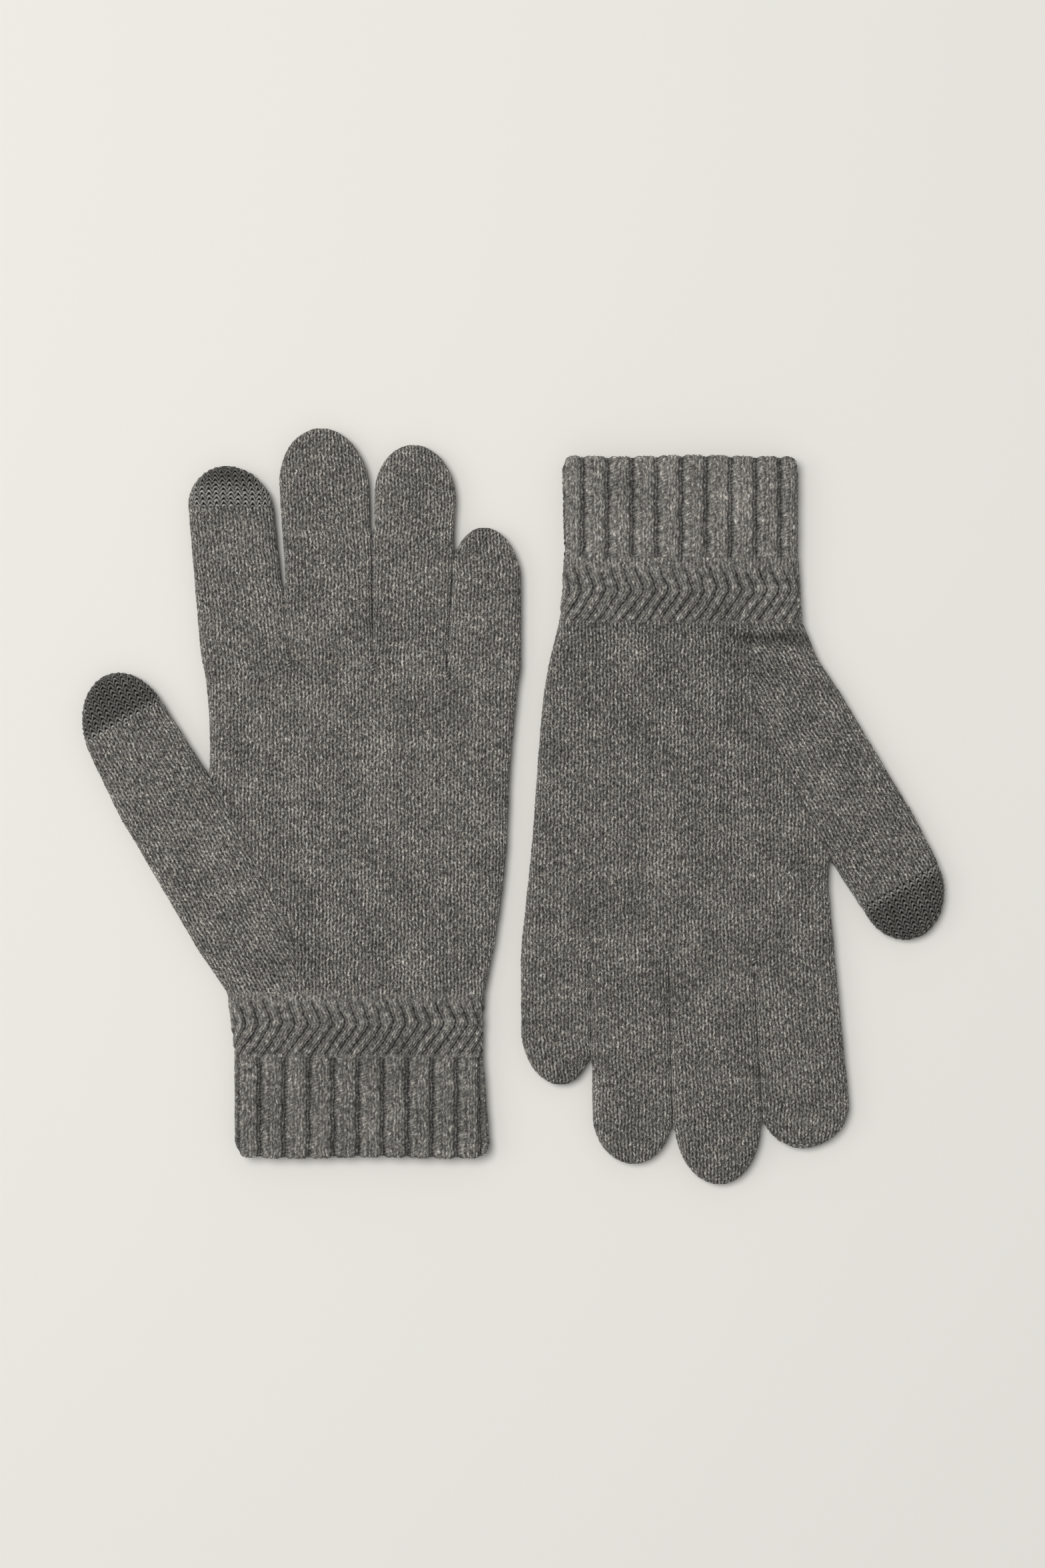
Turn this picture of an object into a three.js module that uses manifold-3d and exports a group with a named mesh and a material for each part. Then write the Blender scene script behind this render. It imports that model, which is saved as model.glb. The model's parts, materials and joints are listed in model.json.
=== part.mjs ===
// A pair of touchscreen gloves: knitted wool gloves that lie flat, side by side, pointing opposite ways.
//
// Each glove is a set of flat knitted tubes that are open to one another: a ribbed cuff, a chevron band,
// the hand with its thumb gusset, and a thumb and four fingers. Every finger is divided at its knuckle
// crease, where the fabric folds. The thumb and the index finger end in a cap of conductive yarn.
//
// Millimetres, +Z up. Each glove is drawn in its own frame: the origin is the middle of the cuff's hem on
// the table, +Y runs towards the fingertips and the thumb is on the -X side. The pair's frame has its
// origin at the middle of the space that both gloves cover, on the table.

import * as THREE from 'three';
import { mergeVertices } from 'three/addons/utils/BufferGeometryUtils.js';
import Module from 'manifold-3d';

// ---------------------------------------------------------------- driving dimensions

// Gap between pieces that touch or join.
const GAP = 0.4;

// Height of each flattened tube and the thickness of one layer of its fabric.
const CUFF_KNIT = { height: 9.4, layer: 2.2 };
const BAND_KNIT = { height: 8.8, layer: 2.0 };
const HAND_KNIT = { height: 8.0, layer: 1.7 };

// The folded side edge of a tube: its thickness, and how far its rounding reaches in.
const EDGE_LAYER = 2.6;
const EDGE_ROUND = 3.2;

// Fabric left between the finger mouths, measured along the fingers.
const WEB_DEPTH = 3;

// How far a cutting shape or an over-long tube runs past what it cuts.
const OVERRUN = 12;

// Straight steps round a finger's end.
const TIP_STEPS = 14;

// A closing stitch at the foot of a finger gap.
const STITCH = { width: 1.6, length: 3.4, height: 0.9 };

// Each glove's shape as it lies. A finger's root is the middle of its root crease, bend is the distance
// from there to its knuckle crease, tipLength is the length of its rounded end and lean is how far that
// end leans away from the thumb (for the thumb, towards the hand). The caps are given by their lengths on
// the upper and the lower face. tilt is in degrees, towards the thumb.
const GLOVES = [
  {
    side: 'left',
    place: { x: -51.9, y: -120.4, turn: 0 },
    cuff: { hem: [-43.9, 43.8], crease: [-44.1, 41.2], length: 35.4 },
    band: { top: [-46.6, 41.8], length: 21.4 },
    thumbSide: [[-56.2, 70.6]],
    littleSide: [[45.9, 78], [49.1, 104], [50.3, 132], [52.9, 160]],
    indexSide: [[-52.5, 145], [-53.6, 162]],
    joinBend: [-23.7, 76.8],
    thumb: { crotch: [-53.0, 131.5], tilt: 29, width: 33.8, shoulder: 30.6, length: 46.8,
      tipLength: 20, lean: 1.6, bend: 18, cap: [18, 18] },
    fingers: [
      { name: 'index', root: [-40.4, 171.5], tilt: 5.4, width: 30.2, shoulder: 29.2, length: 65.9,
        tipLength: 15, lean: -1.4, bend: 32, cap: [14, 3] },
      { name: 'middle', root: [-10.8, 171.5], tilt: 2.4, width: 28.2, shoulder: 31.0, length: 78.4,
        tipLength: 20, lean: -0.8, bend: 38 },
      { name: 'ring', root: [16.1, 170.0], tilt: -1.8, width: 24.9, shoulder: 28.2, length: 74.1,
        tipLength: 18, lean: -0.9, bend: 36 },
      { name: 'little', root: [41.5, 166.9], tilt: -1.8, width: 25.2, shoulder: 23.4, length: 49.0,
        tipLength: 17, lean: -1.5, bend: 25 },
    ],
  },
  {
    side: 'right',
    place: { x: 56.1, y: 119.9, turn: 180 },
    cuff: { hem: [-41.2, 40.4], crease: [-41.1, 39.6], length: 35.6 },
    band: { top: [-42.3, 41.1], length: 21.6 },
    thumbSide: [[-47.7, 70.0], [-54.9, 80.5]],
    littleSide: [[45.9, 78], [48.3, 104], [50.3, 132], [53.2, 160]],
    indexSide: [[-51.2, 147], [-52.6, 162]],
    joinBend: [-25.0, 84.0],
    thumb: { crotch: [-51.8, 138.6], tilt: 30, width: 32.6, shoulder: 30.6, length: 38.2,
      tipLength: 18, lean: 1.8, bend: 11, cap: [19.4, 19.4] },
    fingers: [
      { name: 'index', root: [-39.7, 175.0], tilt: 4.4, width: 28.0, shoulder: 30.0, length: 62.4,
        tipLength: 14, lean: 0.9, bend: 30, cap: [3, 14] },
      { name: 'middle', root: [-10.9, 174.0], tilt: 2.4, width: 28.8, shoulder: 29.8, length: 75.6,
        tipLength: 21, lean: -0.2, bend: 37 },
      { name: 'ring', root: [17.1, 171.6], tilt: 1.0, width: 26.4, shoulder: 27.0, length: 70.9,
        tipLength: 16, lean: -0.6, bend: 35 },
      { name: 'little', root: [42.4, 170.1], tilt: 0.5, width: 23.6, shoulder: 23.8, length: 45.4,
        tipLength: 17, lean: -1.6, bend: 23 },
    ],
  },
];

// Yarns: heathered grey wool, and the darker conductive yarn of the touch caps.
const YARNS = {
  wool: { color: 0x6e6b66, roughness: 0.95, metalness: 0 },
  conductive: { color: 0x4b4946, roughness: 0.85, metalness: 0.05 },
};

// ---------------------------------------------------------------- solids

const manifold = await Module();
manifold.setup();

function toSolid(geometry) {
  geometry.deleteAttribute('normal');
  geometry.deleteAttribute('uv');
  const merged = mergeVertices(geometry, 1e-4);
  return new manifold.Manifold(new manifold.Mesh({
    numProp: 3,
    vertProperties: new Float32Array(merged.attributes.position.array),
    triVerts: new Uint32Array(merged.index.array),
  }));
}

function toMesh(name, solid, yarn) {
  const cut = solid.getMesh();
  const geometry = new THREE.BufferGeometry();
  geometry.setAttribute('position', new THREE.BufferAttribute(cut.vertProperties, 3));
  geometry.setIndex(new THREE.BufferAttribute(cut.triVerts, 1));
  geometry.computeVertexNormals();
  const mesh = new THREE.Mesh(geometry, new THREE.MeshStandardMaterial(YARNS[yarn]));
  mesh.name = name;
  return mesh;
}

function shapeOf(points) {
  return new THREE.Shape(points.map(([x, y]) => new THREE.Vector2(x, y)));
}

// A flattened tube's outside: the plan outline with its edge rounded from the lower to the upper face.
function roundedSlab(outline, knit) {
  const rounding = 0.45 * knit.height;
  const geometry = new THREE.ExtrudeGeometry(outline, {
    depth: knit.height - 2 * rounding,
    bevelThickness: rounding,
    bevelSize: EDGE_ROUND,
    bevelOffset: -EDGE_ROUND,
    bevelSegments: 3,
  });
  geometry.translate(0, 0, rounding);
  return geometry;
}

// A straight-sided slab from one height to another: the hollow of a tube, or a region to cut with.
function prism(outline, low, high) {
  const geometry = new THREE.ExtrudeGeometry(outline, { depth: high - low, bevelEnabled: false });
  geometry.translate(0, 0, low);
  return geometry;
}

function hollow(outline, knit) {
  return prism(outline, knit.layer, knit.height - knit.layer);
}

function region(points) {
  return toSolid(prism(shapeOf(points), -OVERRUN, CUFF_KNIT.height + OVERRUN));
}

// The half of space on the far side of a slanted cut across a tube that runs along +Y: the cut is at
// yUpper on the upper face and at yLower on the lower face.
function beyond(yUpper, yLower, height) {
  const far = 100;
  const slope = (yUpper - yLower) / height;
  const profile = shapeOf([
    [yLower - slope * OVERRUN, -OVERRUN],
    [far, -OVERRUN],
    [far, height + OVERRUN],
    [yUpper + slope * OVERRUN, height + OVERRUN],
  ]);
  const geometry = new THREE.ExtrudeGeometry(profile, { depth: 2 * far, bevelEnabled: false });
  // The profile's (x, y, depth) become the tube's (y, z, x).
  geometry.applyMatrix4(new THREE.Matrix4().makeBasis(
    new THREE.Vector3(0, 1, 0),
    new THREE.Vector3(0, 0, 1),
    new THREE.Vector3(1, 0, 0),
  ));
  geometry.translate(-far, 0, 0);
  return geometry;
}

// ---------------------------------------------------------------- fingers and thumb

// A finger's plan in its own frame: root crease at y = 0, straight sides, and half an ellipse for an end.
// inset narrows it all round, for the hollow; back is how far it starts behind the root crease.
function fingerOutline(finger, inset, back) {
  const shoulderY = finger.length - finger.tipLength;
  const taper = (finger.shoulder - finger.width) / (2 * shoulderY);
  const rootHalf = finger.width / 2 - taper * back - inset;
  const shoulderHalf = finger.shoulder / 2 - inset;
  const end = [];
  for (let step = 0; step <= TIP_STEPS; step += 1) {
    const turn = Math.PI * step / TIP_STEPS;
    end.push([
      shoulderHalf * Math.cos(turn) + finger.lean * Math.sin(turn),
      shoulderY + (finger.tipLength - inset) * Math.sin(turn),
    ]);
  }
  return shapeOf([[-rootHalf, -back], [rootHalf, -back], ...end]);
}

function toGloveFrame(geometry, finger) {
  geometry.rotateZ(THREE.MathUtils.degToRad(finger.tilt));
  geometry.translate(finger.root[0], finger.root[1], 0);
  return toSolid(geometry);
}

// The thumb as a finger: its root crease runs square to it from the crotch, on its inner side.
function thumbAsFinger(thumb) {
  const turn = THREE.MathUtils.degToRad(thumb.tilt);
  const root = [
    thumb.crotch[0] - thumb.width / 2 * Math.cos(turn),
    thumb.crotch[1] - thumb.width / 2 * Math.sin(turn),
  ];
  return { ...thumb, name: 'thumb', root };
}

// The part of a finger between two distances from its root crease. A finger's creases run straight across
// the glove, and the thumb's run square to the thumb.
function between(finger, from, to) {
  const halfWidth = finger.width;
  const strip = prism(shapeOf([
    [-halfWidth, from],
    [halfWidth, from],
    [halfWidth, to],
    [-halfWidth, to],
  ]), -OVERRUN, HAND_KNIT.height + OVERRUN);
  if (finger.name !== 'thumb') {
    strip.translate(finger.root[0], finger.root[1], 0);
    return toSolid(strip);
  }
  return toGloveFrame(strip, finger);
}

// A finger's pieces, in order from the root: lower and upper lengths, and the touch cap if it has one.
function fingerPieces(finger) {
  const outside = toGloveFrame(roundedSlab(fingerOutline(finger, 0, OVERRUN), HAND_KNIT), finger);
  const inside = toGloveFrame(hollow(fingerOutline(finger, EDGE_LAYER, OVERRUN), HAND_KNIT), finger);
  const tube = outside.subtract(inside);
  const lower = tube.intersect(between(finger, GAP / 2, finger.bend - GAP / 2));
  const upper = tube.intersect(between(finger, finger.bend + GAP / 2, finger.length + OVERRUN));
  const pieces = [{ name: `${finger.name}_lower`, solid: lower }];
  if (!finger.cap) {
    pieces.push({ name: `${finger.name}_upper`, solid: upper });
    return pieces;
  }
  const [capUpper, capLower] = finger.cap.map((capLength) => finger.length - capLength);
  const fromCap = (offset) => toGloveFrame(
    beyond(capUpper + offset, capLower + offset, HAND_KNIT.height),
    finger,
  );
  pieces.push({ name: `${finger.name}_upper`, solid: upper.subtract(fromCap(-GAP / 2)) });
  pieces.push({
    name: `${finger.name}_touch_cap`,
    solid: upper.intersect(fromCap(GAP / 2)),
    yarn: 'conductive',
  });
  return pieces;
}

// ---------------------------------------------------------------- cuff, band and hand

// A straight length of tube between two rows, each given by its height and its left and right edges.
function wristPiece(lowY, lowEdges, highY, highEdges, knit) {
  const alongEdge = (edge, y) => {
    const slope = (highEdges[edge] - lowEdges[edge]) / (highY - lowY);
    return lowEdges[edge] + slope * (y - lowY);
  };
  const trapezium = (start, end, inset) => shapeOf([
    [alongEdge(0, start) + inset, start],
    [alongEdge(1, start) - inset, start],
    [alongEdge(1, end) - inset, end],
    [alongEdge(0, end) + inset, end],
  ]);
  const wide = 100;
  const start = lowY - OVERRUN;
  const end = highY + OVERRUN;
  return toSolid(roundedSlab(trapezium(start, end, 0), knit))
    .subtract(toSolid(hollow(trapezium(start, end, EDGE_LAYER), knit)))
    .intersect(region([[-wide, lowY], [wide, lowY], [wide, highY], [-wide, highY]]));
}

// Points of the hand's free edges, moved in by an inset.
function handEdges(glove, inset) {
  const bandTopY = glove.cuff.length + glove.band.length;
  const [index, , , little] = glove.fingers;
  const rootSide = (finger, side) => [
    finger.root[0] + side * (finger.width / 2 - inset),
    finger.root[1],
  ];
  const littleSide = new THREE.SplineCurve([
    [glove.band.top[1] - inset, bandTopY],
    ...glove.littleSide.map(([x, y]) => [x - inset, y]),
    rootSide(little, 1),
  ].map(([x, y]) => new THREE.Vector2(x, y)));
  const indexSide = new THREE.SplineCurve([
    rootSide(index, -1),
    ...glove.indexSide.map(([x, y]) => [x + inset, y]).toReversed(),
    [glove.thumb.crotch[0] + inset + GAP, glove.thumb.crotch[1]],
  ].map(([x, y]) => new THREE.Vector2(x, y)));
  const asPairs = (curve, divisions) => curve.getPoints(divisions).map((point) => [point.x, point.y]);
  return { littleSide: asPairs(littleSide, 12), indexSide: asPairs(indexSide, 6) };
}

// A point in the glove's frame, given across the thumb from the crotch and along the thumb.
function thumbPoint(thumb, across, along) {
  const turn = THREE.MathUtils.degToRad(thumb.tilt);
  return [
    thumb.crotch[0] + across * Math.cos(turn) - along * Math.sin(turn),
    thumb.crotch[1] + across * Math.sin(turn) + along * Math.cos(turn),
  ];
}

// The hand and the gusset are cut from slabs that run past their shared join line.
function handPieces(glove) {
  const bandTopY = glove.cuff.length + glove.band.length;
  const { thumb } = glove;
  const [index, , , little] = glove.fingers;
  const outer = handEdges(glove, 0);
  const inner = handEdges(glove, EDGE_LAYER);
  const far = 150;

  // Outside of the hand, run past the finger roots, the join line and the band.
  const palm = toSolid(roundedSlab(shapeOf([
    [outer.littleSide[0][0], bandTopY - OVERRUN],
    ...outer.littleSide,
    [little.root[0] + little.width / 2, little.root[1] + OVERRUN],
    [index.root[0] - index.width / 2, index.root[1] + OVERRUN],
    ...outer.indexSide,
    [thumb.crotch[0] + GAP - EDGE_ROUND, bandTopY - OVERRUN],
  ]), HAND_KNIT));

  // Outside of the gusset: a strip as wide as the thumb, run past the join line.
  const strip = toSolid(roundedSlab(shapeOf([
    thumbPoint(thumb, -thumb.width, OVERRUN),
    ...glove.thumbSide.toReversed(),
    [glove.band.top[0], bandTopY],
    [glove.band.top[0], bandTopY - OVERRUN],
    [0, bandTopY - OVERRUN],
    thumbPoint(thumb, OVERRUN, OVERRUN),
  ]), HAND_KNIT));

  // The hollow that the hand and the gusset share, up to the finger webs and the thumb's root crease.
  const webY = Math.min(...glove.fingers.map((finger) => finger.root[1])) - WEB_DEPTH;
  const belowWeb = ([, y]) => y < webY;
  const hand = toSolid(hollow(shapeOf([
    [inner.littleSide[0][0], bandTopY - OVERRUN],
    ...inner.littleSide.filter(belowWeb),
    [little.root[0] + little.width / 2 - EDGE_LAYER, webY],
    [index.root[0] - index.width / 2 + EDGE_LAYER, webY],
    ...inner.indexSide.filter(belowWeb),
    [thumb.crotch[0] + EDGE_LAYER, thumb.crotch[1] - EDGE_LAYER],
    thumbPoint(thumb, -EDGE_LAYER, -EDGE_LAYER),
    thumbPoint(thumb, -EDGE_LAYER, OVERRUN),
    thumbPoint(thumb, EDGE_LAYER - thumb.width, OVERRUN),
    ...glove.thumbSide.map(([x, y]) => [x + EDGE_LAYER, y]).toReversed(),
    [glove.band.top[0] + EDGE_LAYER, bandTopY],
    [glove.band.top[0] + EDGE_LAYER, bandTopY - OVERRUN],
  ]), HAND_KNIT));
  const mouths = glove.fingers.map((finger) => (
    toGloveFrame(hollow(fingerOutline(finger, EDGE_LAYER, OVERRUN), HAND_KNIT), finger)
  ));

  // What is left of the join line, and what is above each root crease.
  const joinFoot = [glove.joinBend[0] + 1, bandTopY];
  const gussetSide = (offset) => region([
    [thumb.crotch[0] + offset, thumb.crotch[1]],
    [thumb.crotch[0] + offset, thumb.crotch[1] + GAP],
    [-far, thumb.crotch[1] + GAP],
    [-far, bandTopY - OVERRUN],
    [joinFoot[0] + offset, bandTopY - OVERRUN],
    [joinFoot[0] + offset, joinFoot[1]],
    [glove.joinBend[0] + offset, glove.joinBend[1]],
  ]);
  const aboveThumbCrease = region([
    thumbPoint(thumb, far, -GAP / 2),
    thumbPoint(thumb, far, far),
    thumbPoint(thumb, -far, far),
    thumbPoint(thumb, -far, -GAP / 2),
  ]);
  const aboveBand = region([
    [-far, bandTopY + GAP / 2],
    [far, bandTopY + GAP / 2],
    [far, bandTopY + far],
    [-far, bandTopY + far],
  ]);
  const fingerRoots = glove.fingers.map((finger, place) => {
    const left = place === 0 ? -far : finger.root[0] - finger.width / 2 - GAP;
    const right = place === 3 ? far : finger.root[0] + finger.width / 2 + GAP;
    const low = finger.root[1] - GAP / 2;
    return region([[left, low], [right, low], [right, low + far], [left, low + far]]);
  });

  const cutAll = (solid, cutters) => cutters.reduce((left, cutter) => left.subtract(cutter), solid);
  return [
    {
      name: 'hand',
      solid: cutAll(palm, [hand, ...mouths, ...fingerRoots, gussetSide(GAP / 2)]).intersect(aboveBand),
    },
    {
      name: 'thumb_gusset',
      solid: strip.subtract(hand).subtract(aboveThumbCrease).intersect(gussetSide(-GAP / 2))
        .intersect(aboveBand),
    },
  ];
}

// A closing stitch lies on the hand at the foot of each gap between two fingers.
function closingStitches(glove) {
  return glove.fingers.slice(1).map((finger, place) => {
    const neighbour = glove.fingers[place];
    const gapX = (finger.root[0] - finger.width / 2 + neighbour.root[0] + neighbour.width / 2) / 2;
    const footY = Math.min(finger.root[1], neighbour.root[1]) - GAP;
    const stitch = new THREE.CapsuleGeometry(STITCH.width / 2, STITCH.length - STITCH.width, 2, 8);
    stitch.scale(1, 1, STITCH.height / STITCH.width);
    stitch.translate(gapX, footY - STITCH.length / 2, HAND_KNIT.height + GAP + STITCH.height / 2);
    return { name: `${neighbour.name}_${finger.name}_closing_stitch`, solid: toSolid(stitch) };
  });
}

// ---------------------------------------------------------------- gloves

function makeGlove(glove) {
  const bandTopY = glove.cuff.length + glove.band.length;
  const group = new THREE.Group();
  const add = ({ name, solid, yarn = 'wool' }) => {
    group.add(toMesh(`${glove.side}_${name}`, solid, yarn));
  };
  const cuffEnd = glove.cuff.length - GAP / 2;
  const bandStart = glove.cuff.length + GAP / 2;
  const bandEnd = bandTopY - GAP / 2;
  add({
    name: 'rib_cuff',
    solid: wristPiece(0, glove.cuff.hem, cuffEnd, glove.cuff.crease, CUFF_KNIT),
  });
  add({
    name: 'chevron_band',
    solid: wristPiece(bandStart, glove.cuff.crease, bandEnd, glove.band.top, BAND_KNIT),
  });
  handPieces(glove).forEach(add);
  closingStitches(glove).forEach(add);
  [thumbAsFinger(glove.thumb), ...glove.fingers].flatMap(fingerPieces).forEach(add);
  group.position.set(glove.place.x, glove.place.y, 0);
  group.rotation.z = THREE.MathUtils.degToRad(glove.place.turn);
  return group;
}

const pair = new THREE.Group();
GLOVES.forEach((glove) => pair.add(makeGlove(glove)));

// Centre the pair over the origin.
const middle = new THREE.Box3().setFromObject(pair).getCenter(new THREE.Vector3());
pair.position.set(-middle.x, -middle.y, 0);

export default pair;
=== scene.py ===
# Touchscreen gloves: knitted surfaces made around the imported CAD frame.
#
# Each glove is worked in its own plan frame, in millimetres. The origin is the middle of the cuff's fold
# crease, x runs from the thumb's side to the little finger's, y towards the fingertips, and z up from the
# table. Outlines are cut from the CAD pieces, the fabric is built over them as a fine grid of points, and
# the grid is divided into one piece for each CAD piece.

import json
import math

import bpy
import numpy as np
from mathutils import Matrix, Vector


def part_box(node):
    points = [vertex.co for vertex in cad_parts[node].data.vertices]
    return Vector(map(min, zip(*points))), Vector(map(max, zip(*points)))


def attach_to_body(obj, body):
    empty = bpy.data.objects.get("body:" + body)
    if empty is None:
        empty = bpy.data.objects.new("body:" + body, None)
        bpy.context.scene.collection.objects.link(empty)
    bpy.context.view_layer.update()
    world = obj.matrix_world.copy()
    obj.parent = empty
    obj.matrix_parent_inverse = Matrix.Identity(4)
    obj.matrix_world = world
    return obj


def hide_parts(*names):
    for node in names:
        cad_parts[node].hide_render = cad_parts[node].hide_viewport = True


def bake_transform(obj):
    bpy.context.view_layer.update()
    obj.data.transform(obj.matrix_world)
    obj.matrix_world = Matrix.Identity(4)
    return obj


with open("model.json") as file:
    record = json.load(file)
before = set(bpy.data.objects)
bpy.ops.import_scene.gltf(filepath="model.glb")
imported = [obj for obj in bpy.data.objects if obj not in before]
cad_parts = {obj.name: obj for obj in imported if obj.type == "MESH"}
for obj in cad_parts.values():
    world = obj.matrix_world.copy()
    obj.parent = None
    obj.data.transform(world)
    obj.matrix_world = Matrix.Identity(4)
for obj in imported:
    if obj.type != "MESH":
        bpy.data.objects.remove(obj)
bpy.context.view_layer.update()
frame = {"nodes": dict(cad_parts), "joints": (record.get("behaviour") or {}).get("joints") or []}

# ---- measures, in millimetres

MM = 0.001

# Distance between neighbouring points of the fabric's surface.
SPACING = 0.36

# Jersey: width of a wale, which is two columns of legs, height of a course, rise and width of a leg.
WALE = 2.42
COURSE = 1.65
LEG_RISE = 1.2
LEG_WIDTH = 1.16
JERSEY_RELIEF = 0.6

# Touch caps: width and height of one stitch, and its arch of yarn, which thins towards its feet.
ARCH_WIDTH = 2.42
ARCH_HEIGHT = 1.6
ARCH_CROWN = 0.6
ARCH_STEEPNESS = 2.1
ARCH_HALF_THICKNESS = 0.47
ARCH_THINNING = 0.3
CAP_RELIEF = 1.0

# How much nearer to the tip a cap begins on the face that it only just turns over onto, and where, past
# its border, its yarn turns from its paler foot to its full darkness.
TURNED_OVER = 1.8
CAP_FADE = {"thumb": (0.0, 3.5), "index": (4.0, 11.0)}

# Cuff rib: width of a rib, of its slope of bars and of a leg on its ridge, height and lean of a bar,
# where across the rib it rises and falls, and the share of the relief that isn't bars or legs.
RIB_WIDTH = 8.4
BARS_WIDTH = 3.5
RIDGE_LEG = 1.02
BAR_ROW = 1.24
BAR_SLOPE = 0.42
RIB_RISE = (-0.4, BARS_WIDTH - 0.6)
RIB_FALL = (RIB_WIDTH - 2.0, RIB_WIDTH - 0.3)
RIB_SHARE = 0.45
RIB_RELIEF = 1.45

# Chevron band: width of a rib, where across the rib it rises and falls, how far it moves sideways for
# each millimetre along, where, past the middle of the band, it gives way to jersey, and the share of the
# relief that the stitches' legs have on the ribs and on that jersey.
CHEVRON_WIDTH = 4.2
CHEVRON_RISE = (0.0, 1.8)
CHEVRON_FALL = (2.7, CHEVRON_WIDTH)
CHEVRON_SLANT = 0.56
CHEVRON_DRIFT = 0.15
CHEVRON_END = (5.5, 10.4)
CHEVRON_LEGS = 0.5
PLAIN_LEGS = 0.75
CHEVRON_RELIEF = 1.2

# Join of hand and gusset: overlap, depth and half width of its groove, and what turns a distance across
# the glove into one square to the slanting join.
JOIN_OVERLAP = 0.35
JOIN_GROOVE = 0.12
JOIN_HALF_WIDTH = 0.7
JOIN_SQUARE = 0.88

# How near to a join the relief of the stitches is evened out, and to what depth.
CALM_REACH = 0.6
CALM_DEPTH = 0.25

# The crease between the cuff and the band.
CUFF_CREASE = 0.6
CUFF_CREASE_HALF_WIDTH = 0.8

# The crease past the band: depth and distance from the band, over the hand and over the gusset; where
# across one turns into the other; half width; share that shows in the lower sheet; and the depths between
# which the creased wool is painted darker, as painted shade.
CREASE_DEPTH = {"left": (0.1, 0.3), "right": (0.9, 3.2)}
CREASE_PLACE = {"left": (1.5, 1.5), "right": (2.5, 6.0)}
GUSSET_SIDE = (-10.0, -26.0)
CREASE_HALF_WIDTH = 2.0
CREASE_BELOW = 0.4
CREASE_PAINTED_SHADE = (0.3, 3.0)

# Painted shade for the weaker light towards the bottom of the picture: how much darker than the yarn's
# own tone the wool is painted, on the hand and on the cuff.
PAINTED_WOOL_SHADE = {"left": (0.05, 0.45), "right": (0.2, 0.0)}

# How far in from the outline the rounded edge reaches, above and below, and how far the crown does.
EDGE_ABOVE = 4.6
EDGE_BELOW = 3.6
CROWN_REACH = 14.0
CROWN_SHARE = 0.13

# Depth of the slow waves in the upper sheet.
WAVE_DEPTH = 0.45

# Cuff: thickness of one layer, radius of the hem's corners and height of the hem's waves.
CUFF_LAYER = 2.2
HEM_CORNER = 3.2
HEM_WAVE = 0.25

# Fingertip: the length over which its rows draw together, how far it turns down there, and how far short
# of the outline's end the last row stops.
TIP_LENGTH = 8.0
TIP_DROP = 4.0
TIP_GAP = 0.015

# Outline: distance between points, depth of the small steps of the edge and length of its fine, coarse
# and slow waves, over 2 pi, and the least distance between two lines that are strung together.
OUTLINE_STEP = 0.7
RAGGED_DEPTH = 0.2
RAGGED_WAVES = (0.42, 1.5, 7.3)
STRING_GAP = 0.3

# Half the distance between the upper and the lower sheet where they meet at an edge.
SEAM_HALF = 0.05

# Fingers closer than this press their edges together: distances from such an edge count for more, and
# start from more than nothing, most of all at the foot of the gap.
TOUCHING_GAP = 1.2
PRESSED_STRETCH = 0.9
PRESSED_LIFT = 0.7
FOOT_LIFT = 2.4
FOOT_REACH = 5.0

# Closing stitches, as shares of half their CAD piece's size: radius of the strand, how far apart its
# turns are, how far each leans, and how far down its ends go.
STRAND_RADIUS = 0.25
TURN_STEP = 0.6
TURN_LEAN = 0.2
TURN_SINK = 2.4

# How far past a crease the fabric takes to turn.
TURN_LENGTH = 11.0

# Rows made past the line where the hand and the fingers meet, so that both have the same slope there.
EXTRA_ROWS = 2

FINGERS = ("index", "middle", "ring", "little")
CAPPED = ("thumb", "index")


# ---- one arithmetic for arrays and for the nodes of a material


class Field:
    """A number that varies over a surface, as the output of a material's node."""

    def __init__(self, tree, socket):
        self.tree = tree
        self.socket = socket

    def compute(self, operation, *others):
        node = self.tree.nodes.new("ShaderNodeMath")
        node.operation = operation
        for place, value in enumerate((self, *others)):
            if isinstance(value, Field):
                self.tree.links.new(value.socket, node.inputs[place])
            else:
                node.inputs[place].default_value = float(value)
        return Field(self.tree, node.outputs[0])

    def __add__(self, other):
        return self.compute("ADD", other)

    __radd__ = __add__

    def __sub__(self, other):
        return self.compute("SUBTRACT", other)

    def __rsub__(self, other):
        return self * -1.0 + other

    def __mul__(self, other):
        return self.compute("MULTIPLY", other)

    __rmul__ = __mul__

    def __truediv__(self, other):
        return self.compute("DIVIDE", other)


def either(operation, of_arrays):
    """A function of arrays or numbers that also works on fields, as a node's operation."""
    def apply(value, *others):
        if isinstance(value, Field):
            return value.compute(operation, *others)
        return of_arrays(value, *others)
    return apply


whole = either("FLOOR", np.floor)
fraction = either("FRACT", lambda value: value - np.floor(value))
magnitude = either("ABSOLUTE", np.abs)
larger = either("MAXIMUM", np.maximum)
smaller = either("MINIMUM", np.minimum)
root = either("SQRT", np.sqrt)
cosine = either("COSINE", np.cos)

# 1 where a value is over a limit, else 0.
above = either("GREATER_THAN", lambda value, limit: (value > limit).astype(float))


def ramp(low, high, value):
    """Rises from 0 at low to 1 at high."""
    return smaller(larger((value - low) / (high - low), 0.0), 1.0)


def smooth_step(low, high, value):
    """The same rise, but level at both ends."""
    share = ramp(low, high, value)
    return share * share * (3.0 - share * 2.0)


# ---- small helpers


def quarter_round(share):
    """Height of a quarter circle, from 0 at its foot to 1 where share reaches 1."""
    rest = 1.0 - np.clip(share, 0.0, 1.0)
    return np.sqrt(np.maximum(1.0 - rest * rest, 0.0))


def joint(name):
    return next(j for j in frame["joints"] if j["name"] == name)


def running_total(steps):
    """How far along each point is, from the lengths of the steps between them."""
    return np.concatenate([[0.0], np.cumsum(steps)])


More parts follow.
